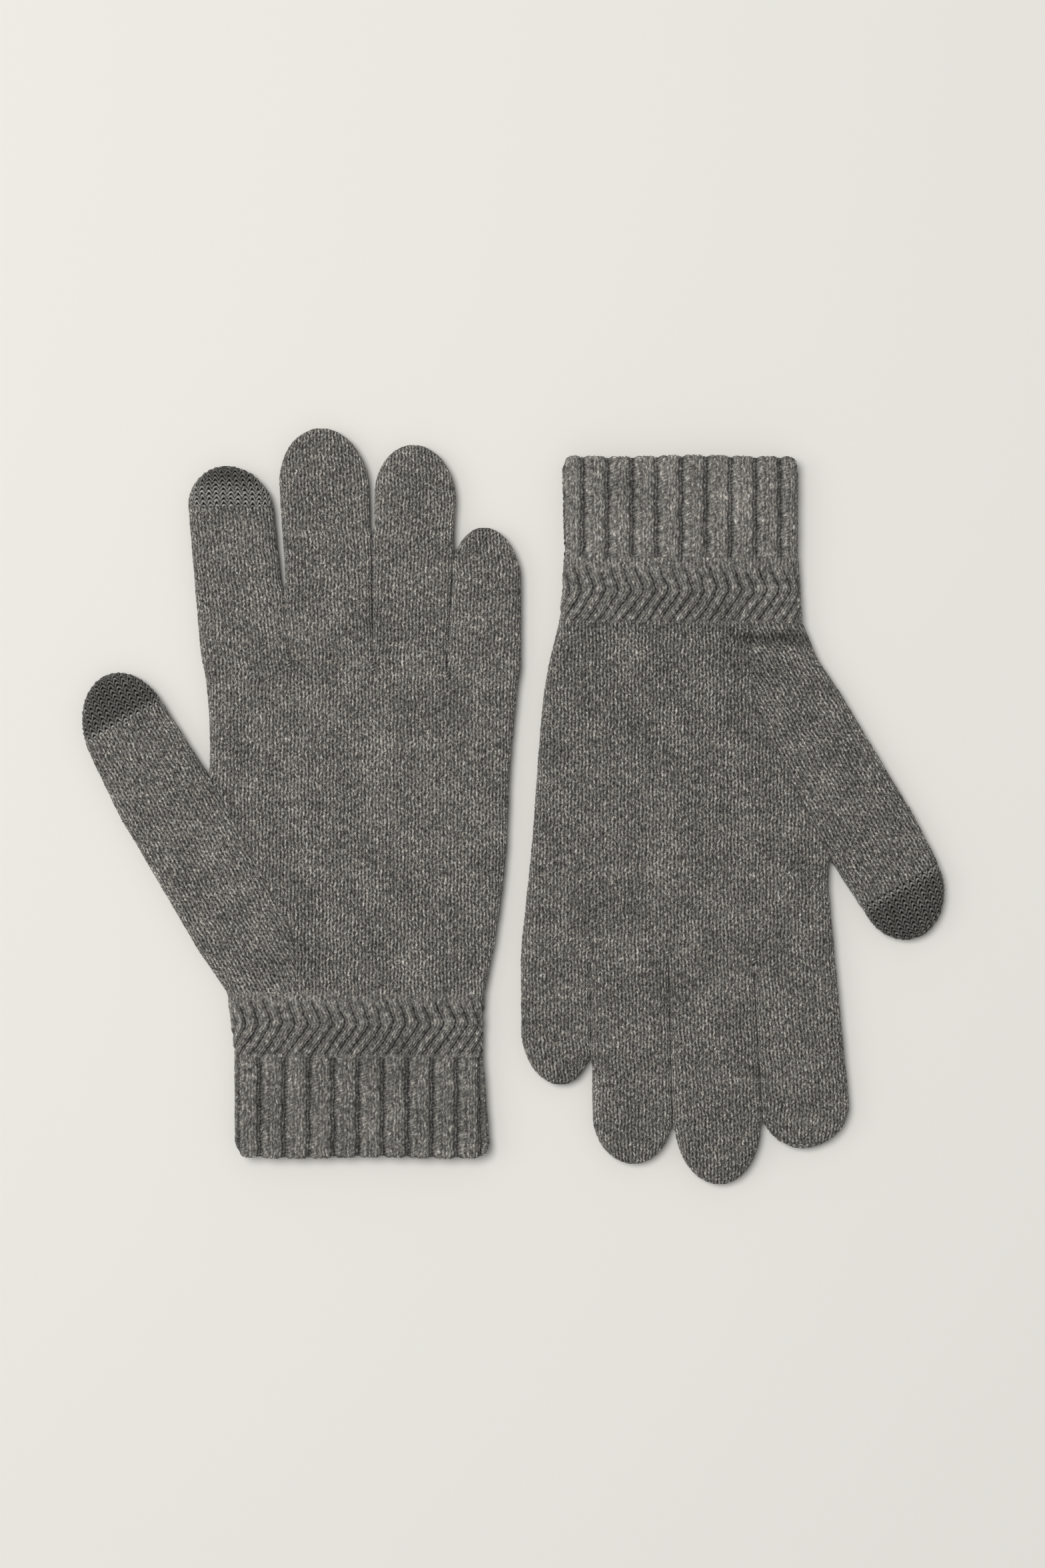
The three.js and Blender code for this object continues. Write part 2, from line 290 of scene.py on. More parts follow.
def travelled_along(line):
    return running_total(np.linalg.norm(np.diff(line, axis=0), axis=1))


def count_for(line, spacing):
    """How many points divide a line into steps of about this length."""
    return int(round(travelled_along(line)[-1] / spacing)) + 1


def evenly(line, count):
    """The same line as this many points, an equal distance apart."""
    travelled = travelled_along(line)
    stations = np.linspace(0.0, travelled[-1], count)
    return np.stack([np.interp(stations, travelled, line[:, k]) for k in (0, 1)], axis=1)


def resample(line, spacing):
    return evenly(line, count_for(line, spacing))


def soften(points, reach):
    """Rounds the corners of a line whose points are equally spaced, and keeps its two ends."""
    half = 3 * reach
    weights = np.exp(-0.5 * (np.arange(-half, half + 1) / reach) ** 2)
    weights /= weights.sum()
    before = 2 * points[0] - points[half:0:-1]
    after = 2 * points[-1] - points[-2:-half - 2:-1]
    padded = np.concatenate([before, points, after])
    return np.stack([np.convolve(padded[:, k], weights, mode="valid") for k in (0, 1)], axis=1)


def distance_to(lines, points):
    """Plan distance from each point to the nearest of some line segments. Each segment has a stretch, by
    which distances from it are multiplied, and a lift, which is added to them."""
    starts, ends, stretch, lift = (np.asarray(part, np.float32) for part in lines)
    spans = ends - starts
    lengths = np.maximum((spans ** 2).sum(axis=1), 1e-9)
    flat = points.reshape(-1, 2).astype(np.float32)
    nearest = np.empty(len(flat))
    block = max(1, 600_000 // max(1, len(starts)))
    for first in range(0, len(flat), block):
        part = flat[first:first + block]
        offset_x = part[:, None, 0] - starts[None, :, 0]
        offset_y = part[:, None, 1] - starts[None, :, 1]
        share = np.clip((offset_x * spans[:, 0] + offset_y * spans[:, 1]) / lengths, 0.0, 1.0)
        gap_x = offset_x - share * spans[:, 0]
        gap_y = offset_y - share * spans[:, 1]
        distances = np.sqrt(gap_x ** 2 + gap_y ** 2) * stretch + lift
        nearest[first:first + block] = distances.min(axis=1)
    return nearest.reshape(points.shape[:-1])


def segments_of(chain, stretch=1.0, lift=0.0):
    """A line's segments, each with the mean stretch and lift of its two ends."""
    stretch, lift = (np.broadcast_to(value, len(chain)) for value in (stretch, lift))
    return chain[:-1], chain[1:], (stretch[:-1] + stretch[1:]) / 2, (lift[:-1] + lift[1:]) / 2


def ragged(chain, free, phase):
    """Moves a line's points in by the small steps of a knitted edge, as far as each point is free."""
    travelled = travelled_along(chain)
    along = np.gradient(chain, axis=0)
    inward = np.stack([along[:, 1], -along[:, 0]], axis=1)
    inward /= np.linalg.norm(inward, axis=1, keepdims=True)
    fine, coarse, slow = (travelled / wave for wave in RAGGED_WAVES)
    steps = np.sin(fine + phase) + np.sin(coarse + 2.0 * np.sin(slow))
    depth = RAGGED_DEPTH * (2.0 + steps) / 4
    return chain + inward * (depth * free)[:, None]


# ---- outlines from the CAD pieces


class Plan:
    """A plan frame: an origin, and the directions across and along, with distances in millimetres."""

    def __init__(self, origin, across):
        self.origin = np.array(origin[:2], float)
        across = np.array(across[:2], float)
        across /= np.linalg.norm(across)
        self.axes = np.stack([across, [-across[1], across[0]]])

    def from_world(self, points):
        return (points[..., :2] - self.origin) @ self.axes.T / MM

    def to_world_plan(self, points):
        return points[..., :2] * MM @ self.axes + self.origin

    def to_world(self, points):
        return np.concatenate([self.to_world_plan(points), points[..., 2:3] * MM], axis=-1)


def cad_mesh(name):
    mesh = frame["nodes"][name].data
    points = np.empty(len(mesh.vertices) * 3, np.float32)
    mesh.vertices.foreach_get("co", points)
    mesh.calc_loop_triangles()
    corners = np.empty(len(mesh.loop_triangles) * 3, np.int32)
    mesh.loop_triangles.foreach_get("vertices", corners)
    return points.reshape(-1, 3).astype(float), corners.reshape(-1, 3)


def reach(name, plan):
    """Nearest and furthest point of a CAD piece along the plan frame."""
    y = plan.from_world(cad_mesh(name)[0])[:, 1]
    return y.min(), y.max()


def side_lines(names, plan):
    """Left and right edge of a row of CAD pieces, each as a line of points in the plan frame."""
    starts, ends = [], []
    for name in names:
        points, corners = cad_mesh(name)
        flat = plan.from_world(points)
        starts.append(flat[corners.ravel()])
        ends.append(flat[np.roll(corners, -1, axis=1).ravel()])
    starts, ends = np.concatenate(starts), np.concatenate(ends)
    low, high = starts[:, 1].min(), starts[:, 1].max()
    near_end = high - 3.2 * np.linspace(1.0, 0.1, 8) ** 2
    stations = np.concatenate([np.arange(low + 0.05, near_end[0] - 0.4, 0.8), near_end])
    left, right = [], []
    for station in stations:
        crossing = (starts[:, 1] - station) * (ends[:, 1] - station) < 0
        if not crossing.any():
            continue
        (x0, y0), (x1, y1) = starts[crossing].T, ends[crossing].T
        cut = x0 + (station - y0) / (y1 - y0) * (x1 - x0)
        left.append((cut.min(), station))
        right.append((cut.max(), station))
    return np.array(left), np.array(right)


def x_at(line, y):
    """Where a line that runs along the frame is at some stations."""
    order = line if line[0, 1] < line[-1, 1] else line[::-1]
    return np.interp(y, order[:, 1], order[:, 0])


def points_at(line, y):
    return np.stack([x_at(line, y), y], axis=1)


def keep_rising(line):
    """Drops the points that don't go further along than those before them."""
    highest = np.maximum.accumulate(line[:, 1])
    rising = np.concatenate([[True], line[1:, 1] > highest[:-1] + 1e-6])
    return line[rising]


class Glove:
    """One glove's plan frame and outlines."""

    def __init__(self, side):
        self.side = side
        fold = joint(f"{side}_cuff_fold")
        self.plan = Plan(fold["pos_m"], -np.array(fold["axis"]))
        self.turn = 1.0 if self.plan.axes[0, 0] > 0 else -1.0
        thumb_root = joint(f"{side}_thumb_root")
        self.thumb_plan = Plan(thumb_root["pos_m"], thumb_root["axis"])
        self.hem_y = reach(self.node("rib_cuff"), self.plan)[0]
        self.band_top = reach(self.node("chevron_band"), self.plan)[1] + 0.2
        self.band_middle = self.band_top / 2
        self.root_y = {name: self.joint_y(f"{name}_root", self.plan) for name in FINGERS}
        self.knuckle_y = {name: self.joint_y(f"{name}_knuckle", self.plan) for name in FINGERS}
        self.root_y["thumb"] = 0.0
        self.knuckle_y["thumb"] = self.joint_y("thumb_knuckle", self.thumb_plan)
        self.web_y = [
            min(self.root_y[a], self.root_y[b]) - 0.4 for a, b in zip(FINGERS, FINGERS[1:])
        ]
        self.trace()

    def joint_y(self, name, plan):
        """How far along a plan frame one of the glove's joints is."""
        return plan.from_world(np.array(joint(self.node(name))["pos_m"]))[1]

    def node(self, name):
        return f"{self.side}_{name}"

    def finger_nodes(self, name):
        parts = ["lower", "upper"] + (["touch_cap"] if name in CAPPED else [])
        return [self.node(f"{name}_{part}") for part in parts]

    def into_thumb(self, points):
        """Plan points from the glove's frame to the thumb's."""
        return self.thumb_plan.from_world(self.plan.to_world_plan(points))

    def out_of_thumb(self, points):
        return self.plan.from_world(self.thumb_plan.to_world_plan(points))

    def trace(self):
        """The outline as five lines: wrist to crotch round the thumb, then one round each finger."""
        wrist = [self.node("rib_cuff"), self.node("chevron_band")]
        wrist_left, wrist_right = side_lines(wrist, self.plan)
        hand_left, hand_right = side_lines([self.node("hand")], self.plan)
        gusset_left, gusset_right = side_lines([self.node("thumb_gusset")], self.plan)
        thumb_left, thumb_right = side_lines(self.finger_nodes("thumb"), self.thumb_plan)

        self.crotch = self.out_of_thumb(np.array([[thumb_right[0, 0], 0.0]]))[0]
        self.outer_corner = self.out_of_thumb(np.array([[thumb_left[0, 0], 0.0]]))[0]

        fingers = {name: side_lines(self.finger_nodes(name), self.plan) for name in FINGERS}
        for a, b in zip(FINGERS, FINGERS[1:]):
            self.close_gap(fingers[a][1], fingers[b][0])
        webs = [
            np.array([[(x_at(fingers[a][1], y) + x_at(fingers[b][0], y)) / 2, y]])
            for a, b, y in zip(FINGERS, FINGERS[1:], self.web_y)
        ]

        hem_left, hem_right = self.hem_corners(wrist_left, wrist_right)
        rising = gusset_left[gusset_left[:, 1] < self.outer_corner[1] - 0.4]
        thumb_outside = keep_rising(thumb_left)
        outer = np.concatenate([
            hem_left,
            wrist_left[wrist_left[:, 1] > self.hem_y + HEM_CORNER],
            rising,
            self.out_of_thumb(thumb_outside),
            self.out_of_thumb(thumb_right[::-1]),
            [self.crotch],
        ])
        above_crotch = hand_left[hand_left[:, 1] > self.crotch[1] + 0.8]
        chains = [outer]
        for place, name in enumerate(FINGERS):
            left, right = fingers[name]
            low_left = self.web_y[place - 1] if place else self.root_y["index"]
            low_right = self.web_y[place] if place < 3 else self.root_y["little"]
            left = left[left[:, 1] > low_left + STRING_GAP]
            right = right[right[:, 1] > low_right + STRING_GAP]
            foot = [webs[place - 1]] if place else [
                self.crotch[None], above_crotch[above_crotch[:, 1] < self.root_y["index"]]]
            head = [webs[place]] if place < 3 else [
                hand_right[hand_right[:, 1] < self.root_y["little"] - STRING_GAP][::-1],
                wrist_right[wrist_right[:, 1] > self.hem_y + HEM_CORNER][::-1],
                hem_right[::-1],
            ]
            chains.append(np.concatenate([*foot, left, right[::-1], *head]))
        smooth_chains = [soften(resample(chain, OUTLINE_STEP), 2) for chain in chains]
        webs = np.concatenate(webs)
        self.chains, self.segments = [], []
        for place, chain in enumerate(smooth_chains):
            others = [other for other in smooth_chains[1:] if other is not chain]
            touching, from_foot = self.pressed(chain, others, webs)
            # At its tip a finger's outline runs across the rows, and stays smooth.
            finger_y = (chain if place else self.into_thumb(chain))[:, 1]
            rising = np.abs(np.gradient(finger_y)) / OUTLINE_STEP
            free = (1.0 - touching) * smooth_step(0.1, 0.5, rising)
            self.chains.append(ragged(chain, free, place))
            stretch = 1.0 + PRESSED_STRETCH * touching
            lift = PRESSED_LIFT * touching + FOOT_LIFT * smooth_step(FOOT_REACH, 0.0, from_foot)
            self.segments.append(segments_of(self.chains[-1], stretch, lift))
        self.segments = [np.concatenate(part) for part in zip(*self.segments)]

        join_y = np.arange(self.band_top - JOIN_OVERLAP, self.crotch[1], 0.8)
        join_x = (x_at(hand_left, join_y) + x_at(gusset_right, join_y)) / 2
        self.join = soften(resample(np.concatenate([
            np.stack([join_x, join_y], axis=1), [self.crotch]]), 0.5), 4)
        self.little_side = keep_rising(self.chains[4][self.chains[4][:, 1].argmax():][::-1])

    @staticmethod
    def pressed(chain, others, webs):
        """How firmly each point is pressed against a neighbour's line, and how far it is from a web."""
        gap = np.min([distance_to(segments_of(other), chain) for other in others], axis=0)
        from_foot = np.linalg.norm(chain[:, None] - webs[None], axis=-1).min(axis=1)
        return smooth_step(TOUCHING_GAP, 0.3, gap), from_foot

    @staticmethod
    def close_gap(left_line, right_line):
        """Moves two neighbouring fingers' facing sides together where they nearly touch."""
        original = left_line.copy()
        for line, other, direction in ((left_line, right_line.copy(), 1), (right_line, original, -1)):
            gap = direction * (x_at(other, line[:, 1]) - line[:, 0])
            shared = line[:, 1] < other[:, 1].max()
            near = shared & (gap > 0) & (gap < TOUCHING_GAP)
            line[near, 0] += direction * gap[near] / 2

    def hem_corners(self, left, right):
        """The hem's two rounded corners."""
        turns = np.linspace(0.0, math.pi / 2, 7)
        y = self.hem_y + HEM_CORNER * (1 - np.cos(turns))
        inset = 0.2 * HEM_CORNER * (1 - np.sin(turns))
        return (np.stack([x_at(left, y) + inset, y], axis=1),
                np.stack([x_at(right, y) - inset, y], axis=1))

    def near(self, points, margin=16.0):
        """The outline's segments near some points."""
        low = points.reshape(-1, 2).min(axis=0) - margin
        high = points.reshape(-1, 2).max(axis=0) + margin
        starts, ends = self.segments[:2]
        close = ((np.maximum(starts, ends) > low) & (np.minimum(starts, ends) < high)).all(axis=1)
        return tuple(part[close] for part in self.segments)

    # The fabric's height over the table.

    def thickness(self, y):
        cuff, band, hand = (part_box(self.node(name))[1].z / MM
                            for name in ("rib_cuff", "chevron_band", "hand"))
        at_cuff = smooth_step(0.4, -0.4, y)
        at_hand = smooth_step(self.band_top - 0.8, self.band_top + 0.9, y)
        return cuff * at_cuff + band * (1 - at_cuff) * (1 - at_hand) + hand * at_hand

    def groove(self, x, y):
        """Depth of the creases on either side of the band."""
        cuff_crease = CUFF_CREASE * np.exp(-((y / CUFF_CREASE_HALF_WIDTH) ** 2))
        over_gusset = smooth_step(*GUSSET_SIDE, x)
        depth, place = (here[0] + (here[1] - here[0]) * over_gusset
                        for here in (CREASE_DEPTH[self.side], CREASE_PLACE[self.side]))
        away = (y - self.band_top - place) / CREASE_HALF_WIDTH
        return cuff_crease + depth * np.exp(-away * away)

    def waves(self, x, y):
        """Slow unevenness of fabric that lies flat, from 0 to 1."""
        phase = 1.3 if self.turn > 0 else 4.1
        sum_of_waves = (
            np.sin(x / 9.1 + 1.7 * np.sin(y / 23.0 + phase) + phase)
            + np.sin(y / 11.3 + 1.3 * np.sin(x / 17.0 - phase))
            + 0.7 * np.sin((x + y) / 6.3 + phase)
        )
        return 0.5 + sum_of_waves / 5.4

    def upper(self, points, edge):
        """Height of the upper sheet at some points that are edge away from the outline."""
        x, y = points[..., 0], points[..., 1]
        middle = self.thickness(y) / 2
        rise = (1 - CROWN_SHARE) * quarter_round(edge / EDGE_ABOVE)
        rise = rise + CROWN_SHARE * quarter_round(edge / CROWN_REACH)
        inside = smooth_step(0.0, EDGE_ABOVE, edge)
        sunk = self.groove(x, y) + WAVE_DEPTH * self.waves(x, y) + self.join_groove(points)
        return middle + middle * rise - inside * sunk

    def lower(self, points, edge):
        x, y = points[..., 0], points[..., 1]
        middle = self.thickness(y) / 2
        raised = CREASE_BELOW * smooth_step(0.0, EDGE_BELOW, edge) * self.groove(x, y)
        return middle - middle * quarter_round(edge / EDGE_BELOW) + raised

    def join_groove(self, points):
        x, y = points[..., 0], points[..., 1]
        beside = (x - x_at(self.join, y)) * JOIN_SQUARE
        within = smooth_step(self.crotch[1] + 1, self.crotch[1] - 6, y)
        return JOIN_GROOVE * within * np.exp(-((beside / JOIN_HALF_WIDTH) ** 2))

    def at_joins(self, points):
        """1 on the lines where separately made lengths of fabric meet, 0 from a short way off."""
        x, y = points[..., 0], points[..., 1]
        beside_join = np.abs(x - x_at(self.join, y)) * JOIN_SQUARE
        at_thumb = np.abs(self.into_thumb(points)[..., 1])
        nearest = np.minimum(np.where(y < self.crotch[1] + 0.5, beside_join, CALM_REACH),
                             np.where(x < self.crotch[0] + 0.5, at_thumb, CALM_REACH))
        nearest = np.minimum(nearest, np.abs(y))
        nearest = np.minimum(nearest, np.abs(y - self.band_top))
        return smooth_step(CALM_REACH, 0.1, nearest)


# ---- the fabric's grid


class Grid:
    """Rows of points round a flattened tube: the upper sheet from left to right, then the lower back."""

    def __init__(self, glove, starts, ends):
        self.glove = glove
        widths = np.linalg.norm(ends - starts, axis=1)
        fine = 160
        turn = np.linspace(0.0, math.pi, fine)
        share = (0.5 - 0.5 * np.cos(turn))[None, :, None]
        plan_points = starts[:, None] + (ends - starts)[:, None] * share
        sheet_columns = int(math.ceil((widths.max() + 5.0) / SPACING))
        edge = distance_to(glove.near(plan_points), plan_points)
        sheets = []
        for height_of, lift in ((glove.upper, SEAM_HALF), (glove.lower, -SEAM_HALF)):
            z = height_of(plan_points, edge) + lift
            sheets.append(self.spread(plan_points, z, sheet_columns))
        (upper, upper_extra), (lower, lower_extra) = sheets
        self.columns = sheet_columns
        self.points = np.concatenate([upper, lower[:, ::-1]], axis=1)
        self.extra = np.concatenate([upper_extra, lower_extra[:, ::-1]], axis=1)

    def painted_shade(self):
        """Painted shade: how much darker than the yarn's own tone the wool is painted at each point,
        towards the bottom of the picture and in the creases.
        """
        glove = self.glove
        x, y = self.points[..., 0], self.points[..., 1]
        hand, cuff = PAINTED_WOOL_SHADE[glove.side]
        even = hand + (cuff - hand) * smooth_step(glove.band_top, -4.0, y)
        # Painted shade in the creases, darker where they are deeper.
        return even + smooth_step(*CREASE_PAINTED_SHADE, glove.groove(x, y))

    @staticmethod
    def spread(plan_points, z, columns):
        """Places points an equal distance apart over each row. Also gives how much longer the way over
        the surface is than the way in plan, from the row's middle, signed by side."""
        full = np.concatenate([plan_points, z[..., None]], axis=-1)
        steps = np.linalg.norm(np.diff(full, axis=1), axis=-1)
        flat_steps = np.linalg.norm(np.diff(plan_points, axis=1), axis=-1)
        rows = len(full)
        placed = np.empty((rows, columns, 3))
        extra = np.empty((rows, columns))
        for row in range(rows):
            travelled = running_total(steps[row])
            flat = running_total(flat_steps[row])
            stations = np.linspace(0.0, travelled[-1], columns)
            for k in range(3):
                placed[row, :, k] = np.interp(stations, travelled, full[row, :, k])
            surplus = travelled - flat
            middle = np.interp(flat[-1] / 2, flat, surplus)
            extra[row] = np.interp(stations, travelled, surplus) - middle
        return placed, extra


def outward_from(points):
    """Unit normals of a grid of points whose rows run on and whose columns run round."""
    along = np.gradient(points, axis=0)
    round_about = np.roll(points, -1, axis=1) - np.roll(points, 1, axis=1)
    outward = np.cross(round_about, along)
    lengths = np.linalg.norm(outward, axis=-1, keepdims=True)
    return outward / np.maximum(lengths, 1e-12)


def finger_rows(low, high):
    """Stations of a finger's rows, and how far each is over the surface. The rows are equally far apart
    there, so that they draw together in plan where the finger's end turns down."""
    step = 0.2
    depth = np.linspace(0.0, 1.0, 200) ** 2 * TIP_LENGTH
    stations = np.concatenate([np.arange(low, high - TIP_LENGTH - step, step), high - depth[::-1]])
    drop = TIP_DROP * quarter_round((high - stations) / EDGE_ABOVE)
    travelled = running_total(np.hypot(np.diff(stations), np.diff(drop)))
    way = np.linspace(0.0, travelled[-1], int(round(travelled[-1] / SPACING)) + 1)
    y = np.interp(way, travelled, stations)
    y[-1] = high - TIP_GAP
    return y, way + low


# ---- knit patterns
#
# Each pattern gives the height of the yarn from 0 to 1 at a place x across and y along the fabric, in
# millimetres. It takes arrays for the relief or fields for the colour, so that both follow the same
# stitches. In the colour the height is painted shade, darker where the yarn lies low.


def jersey(x, y):
    """Columns of slanted legs of stitches, which lean one way and the other by turns."""
    column = x * (2.0 / WALE)
    place = (fraction(column) - 0.5) * (WALE / 2)
    lean = above(fraction(column * 0.5), 0.5) * 2.0 - 1.0
    side = place * (2.0 / LEG_WIDTH)
    end = (fraction((y - place * lean * LEG_RISE) / COURSE) - 0.5) * 2.0
    return root(larger(1.0 - side * side - 0.65 * end * end * end * end, 0.0))


def arches(x, y):
    """Pointed arches of thick yarn nested one above the other, with gaps under their crowns that the
    colour paints dark as shade.
    """
    sideways = (fraction(x / ARCH_WIDTH) - 0.5) * ARCH_WIDTH
    reach = root(sideways * sideways + ARCH_CROWN ** 2)
    drop = (reach - ARCH_CROWN) * ARCH_STEEPNESS
    away = (fraction((y + drop) / ARCH_HEIGHT) - 0.5) * ARCH_HEIGHT
    slope = sideways * ARCH_STEEPNESS / reach
    crown = 1.0 - magnitude(sideways) * (2.0 / ARCH_WIDTH)
    half_thickness = (crown * ARCH_THINNING + (1.0 - ARCH_THINNING)) * ARCH_HALF_THICKNESS
    across = away / root(slope * slope + 1.0) / half_thickness
    # The crowns stand higher, and in the colour they carry a painted highlight.
    return root(larger(1.0 - across * across, 0.0)) * (crown * 0.5 + 0.5)


def grains(across, along, width, length):
    """Rows of rounded grains, each row half a grain further on than the one beside it."""
    row = across / width
    shift = fraction(whole(row) * 0.5)
    side = (fraction(row) - 0.5) * 2.0
    end = (fraction(along / length + shift) - 0.5) * 2.0
    return root(larger(1.0 - side * side * 0.9 - end * end * 0.6, 0.0))


def rib(x, y):
    """Across one rib: a furrow, a slope of slanted bars, and a ridge of plain legs."""
    place = fraction(x / RIB_WIDTH) * RIB_WIDTH
    ridge = smooth_step(*RIB_RISE, place) * (1.0 - smooth_step(*RIB_FALL, place))
    bars = grains(place, y - place * BAR_SLOPE, BARS_WIDTH, BAR_ROW)
    legs = grains(place - BARS_WIDTH, y, RIDGE_LEG, BAR_ROW * 1.5)
    on_ridge = ramp(BARS_WIDTH - 0.3, BARS_WIDTH, place)
    fine = bars * (1.0 - on_ridge) + legs * on_ridge
    return ridge * RIB_SHARE + fine * (1.0 - RIB_SHARE)


def chevron(x, y):
    """Ribs that lean one way below the middle of the band, and less steeply the other way above it."""
    away = root(y * y + 1.0)
    leaned = x - y * CHEVRON_DRIFT + away * CHEVRON_SLANT
    place = fraction(leaned / CHEVRON_WIDTH) * CHEVRON_WIDTH
    ridge = smooth_step(*CHEVRON_RISE, place) * (1.0 - smooth_step(*CHEVRON_FALL, place))
    fine = jersey(leaned * (2.0 * WALE / CHEVRON_WIDTH), y)
    ribbed = ridge * (1.0 - CHEVRON_LEGS) + fine * CHEVRON_LEGS
    plain = jersey(x, y) * PLAIN_LEGS + (1.0 - PLAIN_LEGS)
    past_end = ramp(*CHEVRON_END, y)
    return ribbed * (1.0 - past_end) + plain * past_end


def plied(x, y):
    """Two plies of yarn twisted round each other."""
    return 0.5 + 0.5 * cosine((x / 1.2 + y / 1.1) * (2 * math.pi))


PATTERNS = {
    "wool_jersey": (jersey, JERSEY_RELIEF),
    "touch_knit": (arches, CAP_RELIEF),
    "wool_rib": (rib, RIB_RELIEF),
    "wool_chevron": (chevron, CHEVRON_RELIEF),
    "closing_yarn": (plied, 0.0),
}


# ---- materials


# Spots in the wool for each millimetre across and along.
FLECKS = (3.4, 1.2)
TUFTS = (1.1, 0.5)
# The slow clouds are partly the wool's own uneven tone and partly painted shade for the fabric's slow
# waves.
CLOUDS = (0.08, 0.07)
HUES = (0.9, 0.7)

# How far the tint of one yarn strays either way, and the most that a spot may be brightened by.
HUE_SHIFT = 1.5
BRIGHTEST = 3.4


def linear(value):
    """An sRGB level from 0 to 255 as linear light."""
    share = value / 255
    return share / 12.92 if share <= 0.04045 else ((share + 0.055) / 1.055) ** 2.4


def wool_colour(level, tint):
    """A warm grey as linear light, turned a little towards brown or green by tint."""
    return (linear(level + 3.3 + tint), linear(level), linear(level - 5.5 - tint), 1.0)


def set_inputs(node, values):
    for name, value in values.items():
        node.inputs[name].default_value = value


def noise(tree, x, y, spots, salt):
    """Noise from about 0 to 1, with about so many spots for each millimetre across and along. The salt
    tells one noise from another."""
    place = tree.nodes.new("ShaderNodeCombineXYZ")
    for socket, value in zip(place.inputs, (x * spots[0], y * spots[1], salt)):
        if isinstance(value, Field):
            tree.links.new(value.socket, socket)
        else:
            socket.default_value = value
    node = tree.nodes.new("ShaderNodeTexNoise")
    set_inputs(node, {"Scale": 1.0, "Detail": 2.0, "Roughness": 0.6})
    tree.links.new(place.outputs[0], node.inputs["Vector"])
    return Field(tree, node.outputs[0])


def fibre_axes(slot, x, y):
    """Coordinates across and along the fibres, and a number that differs from yarn to yarn."""
    if slot == "wool_jersey":
        lean = above(fraction(x / WALE), 0.5) * 2.0 - 1.0
        return x - y * lean * 0.45, y + x * lean * 0.45, whole(x * (2.0 / WALE)) * 3.7
    if slot == "touch_knit":
        return y, x, whole(y / ARCH_HEIGHT) * 3.7
    if slot == "wool_rib":
        place = fraction(x / RIB_WIDTH) * RIB_WIDTH
        on_ridge = above(place, BARS_WIDTH)
        across = x * on_ridge + (y - x * BAR_SLOPE) * (1.0 - on_ridge)
        along = y * on_ridge + x * (1.0 - on_ridge)
        return across, along, on_ridge * 9.1 + whole(place / RIDGE_LEG) * 3.7
    lean = above(y, 0.0) * 2.0 - 1.0
    return x + y * lean * 0.5, y - x * lean * 0.5, whole(x * 1.3) * 3.7


def knit_material(slot, yarn):
    """Heathered yarn knitted in one pattern: painted shade between the stitches, flecked along the
    fibres.
    """
    material = bpy.data.materials.new(slot)
    material.use_nodes = True
    tree = material.node_tree
    shader = tree.nodes["Principled BSDF"]
    stitch = tree.nodes.new("ShaderNodeAttribute")
    stitch.attribute_name = "stitch"
    parts = tree.nodes.new("ShaderNodeSeparateXYZ")
    tree.links.new(stitch.outputs["Vector"], parts.inputs[0])
    x, y, change = (Field(tree, socket) for socket in parts.outputs)
    height = PATTERNS[slot][0](x, y)

    across, along, salt = fibre_axes(slot, x, y)
    flecks = noise(tree, across, along, FLECKS, salt)
    tufts = noise(tree, x, y, TUFTS, 40.0)
    clouds = noise(tree, x, y, CLOUDS, 7.0)
    tone = (flecks - 0.5) * yarn["fleck"] + (tufts - 0.5) * yarn["tuft"]
    tone = tone + (clouds - 0.5) * yarn["cloud"]
    # Painted shade: the colour darkens where the yarn lies low between the stitches, down to the gap
    # share.
    depth = height * (1.0 - yarn["gap"]) + yarn["gap"]
    # The change of tone paints shade on the wool, towards the bottom of the picture and in the creases,
    # and makes the touch yarn's foot paler.
    brightness = tone.compute("EXPONENT") * depth * (change * yarn["change"] + 1.0)

    tint = tree.nodes.new("ShaderNodeMix")
    tint.data_type = "RGBA"
    set_inputs(tint, {"A": wool_colour(yarn["level"], yarn["tint"] - HUE_SHIFT),
                      "B": wool_colour(yarn["level"], yarn["tint"] + HUE_SHIFT)})
    hue = ramp(0.35, 0.65, noise(tree, x, y, HUES, 90.0))
    tree.links.new(hue.socket, tint.inputs["Factor"])
    scaled = tree.nodes.new("ShaderNodeVectorMath")
    scaled.operation = "SCALE"
    tree.links.new(tint.outputs["Result"], scaled.inputs[0])
    tree.links.new(smaller(brightness, BRIGHTEST).socket, scaled.inputs["Scale"])
    tree.links.new(scaled.outputs[0], shader.inputs["Base Color"])

    bump = tree.nodes.new("ShaderNodeBump")
    set_inputs(bump, {"Strength": 0.8, "Distance": 0.2 * MM})
    relief = height + flecks
    tree.links.new(relief.socket, bump.inputs["Height"])
    tree.links.new(bump.outputs[0], shader.inputs["Normal"])
    set_inputs(shader, {"Roughness": 0.9, "Specular IOR Level": 0.2,
                        "Sheen Weight": yarn["sheen"], "Sheen Roughness": 0.5})
    return material


# Each yarn: its sRGB level and tint; the strength of its flecks, tufts and clouds; how light the painted
# shade in the gaps between its stitches stays, as a share; its sheen; and what a full change of tone does
# to it, which on wool is painted shade.
WOOL = {"level": 119, "tint": 0.0, "fleck": 6.0, "tuft": 4.0, "cloud": 1.2, "gap": 0.2, "sheen": 0.08,
        "change": -0.4}
RIB_WOOL = {**WOOL, "level": 126, "fleck": 4.0, "gap": 0.03}
TOUCH_YARN = {"level": 112, "tint": -1.0, "fleck": 3.0, "tuft": 1.4, "cloud": 0.6, "gap": 0.0,
              "sheen": 0.05, "change": 1.1}
CLOSING_YARN = {**WOOL, "gap": 0.6}
YARNS = {
    "touch_knit": TOUCH_YARN,
    "wool_rib": RIB_WOOL,
    "wool_chevron": RIB_WOOL,
    "closing_yarn": CLOSING_YARN,
}
MATERIALS = {slot: knit_material(slot, YARNS.get(slot, WOOL)) for slot in PATTERNS}


# ---- pieces


